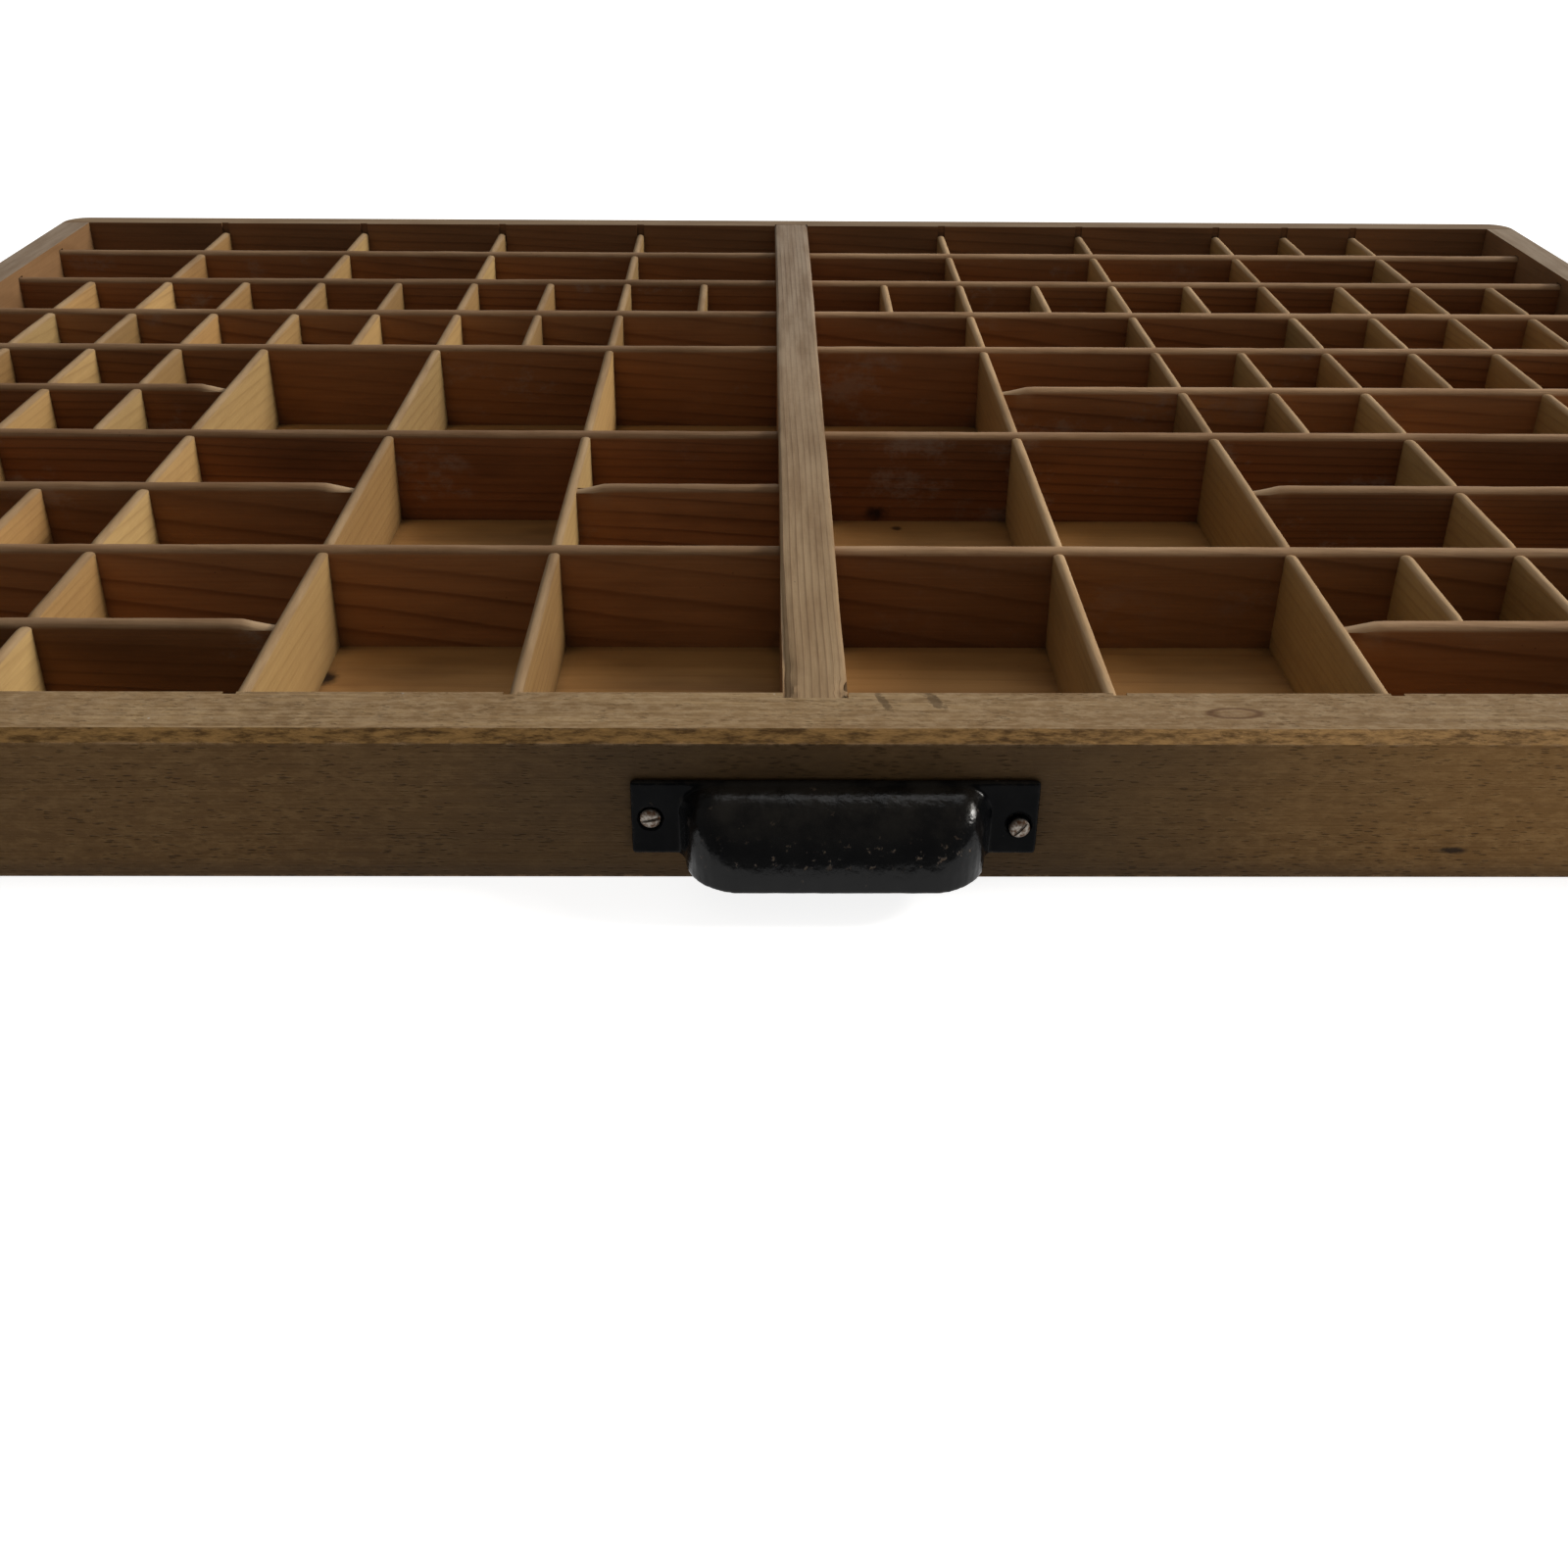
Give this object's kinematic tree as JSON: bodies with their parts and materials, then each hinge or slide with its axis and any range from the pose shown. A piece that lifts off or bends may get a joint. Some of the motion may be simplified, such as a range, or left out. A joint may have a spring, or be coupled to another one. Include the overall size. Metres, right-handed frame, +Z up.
{
  "type": "type case",
  "caption": "Shallow wooden drawer for metal type, divided by long strips and short cross dividers, with a cast cup pull on its front rail.",
  "frame": {"origin": "centre of the underside of the bottom board", "axes": "+X to the right along the front rail, +Y to the back, +Z up, millimetres in the source"},
  "size_m": [0.66, 0.501, 0.037],
  "materials": {
    "front_wood": "old dark stained beech, handled smooth, dull",
    "frame_wood": "old bare softwood, dull and dirty",
    "strip_wood": "old softwood strips, reddish brown faces, greyed tops",
    "divider_wood": "bare thin softwood dividers, warm tan, greyed tops",
    "board_wood": "pale bare softwood board with dirt in the corners",
    "pull_iron": "black gloss paint on cast iron, worn at the edges",
    "screw_steel": "darkened, slightly rusted steel",
    "nail_steel": "dull steel wire nails"
  },
  "bodies": {
    "root": {"front_rail": "front_wood", "back_rail": "frame_wood", "left_rail": "frame_wood", "right_rail": "frame_wood", "centre_stile": "frame_wood", "bottom_board": "board_wood", "bottom_nails": "nail_steel", "cup_pull": "pull_iron", "pull_screw_left": "screw_steel", "pull_screw_right": "screw_steel", "left_strip_9": "strip_wood", "left_strip_8": "strip_wood", "left_strip_7": "strip_wood", "left_strip_6": "strip_wood", "left_strip_4": "strip_wood", "left_strip_2": "strip_wood", "right_strip_9": "strip_wood", "right_strip_8": "strip_wood", "right_strip_7": "strip_wood", "right_strip_6": "strip_wood", "right_strip_4": "strip_wood", "right_strip_2": "strip_wood", "left_part_strip_5": "strip_wood", "left_part_strip_3": "strip_wood", "left_short_strip_3": "strip_wood", "left_part_strip_1": "strip_wood", "right_part_strip_5": "strip_wood", "right_part_strip_3": "strip_wood", "right_part_strip_1": "strip_wood", "left_dividers_a": "divider_wood", "left_dividers_b": "divider_wood", "left_dividers_c": "divider_wood", "left_dividers_d": "divider_wood", "left_dividers_e": "divider_wood", "left_dividers_e_upper": "divider_wood", "left_dividers_e_lower": "divider_wood", "left_dividers_f": "divider_wood", "left_dividers_f_upper": "divider_wood", "left_dividers_f_lower": "divider_wood", "left_dividers_g": "divider_wood", "left_dividers_g_upper": "divider_wood", "left_dividers_g_lower": "divider_wood", "right_dividers_a": "divider_wood", "right_dividers_b": "divider_wood", "right_dividers_c": "divider_wood", "right_dividers_d": "divider_wood", "right_dividers_e": "divider_wood", "right_dividers_e_upper": "divider_wood", "right_dividers_e_lower": "divider_wood", "right_dividers_f": "divider_wood", "right_dividers_f_upper": "divider_wood", "right_dividers_f_lower": "divider_wood", "right_dividers_g": "divider_wood", "right_dividers_g_upper": "divider_wood", "right_dividers_g_lower": "divider_wood"}
  },
  "joints": []
}
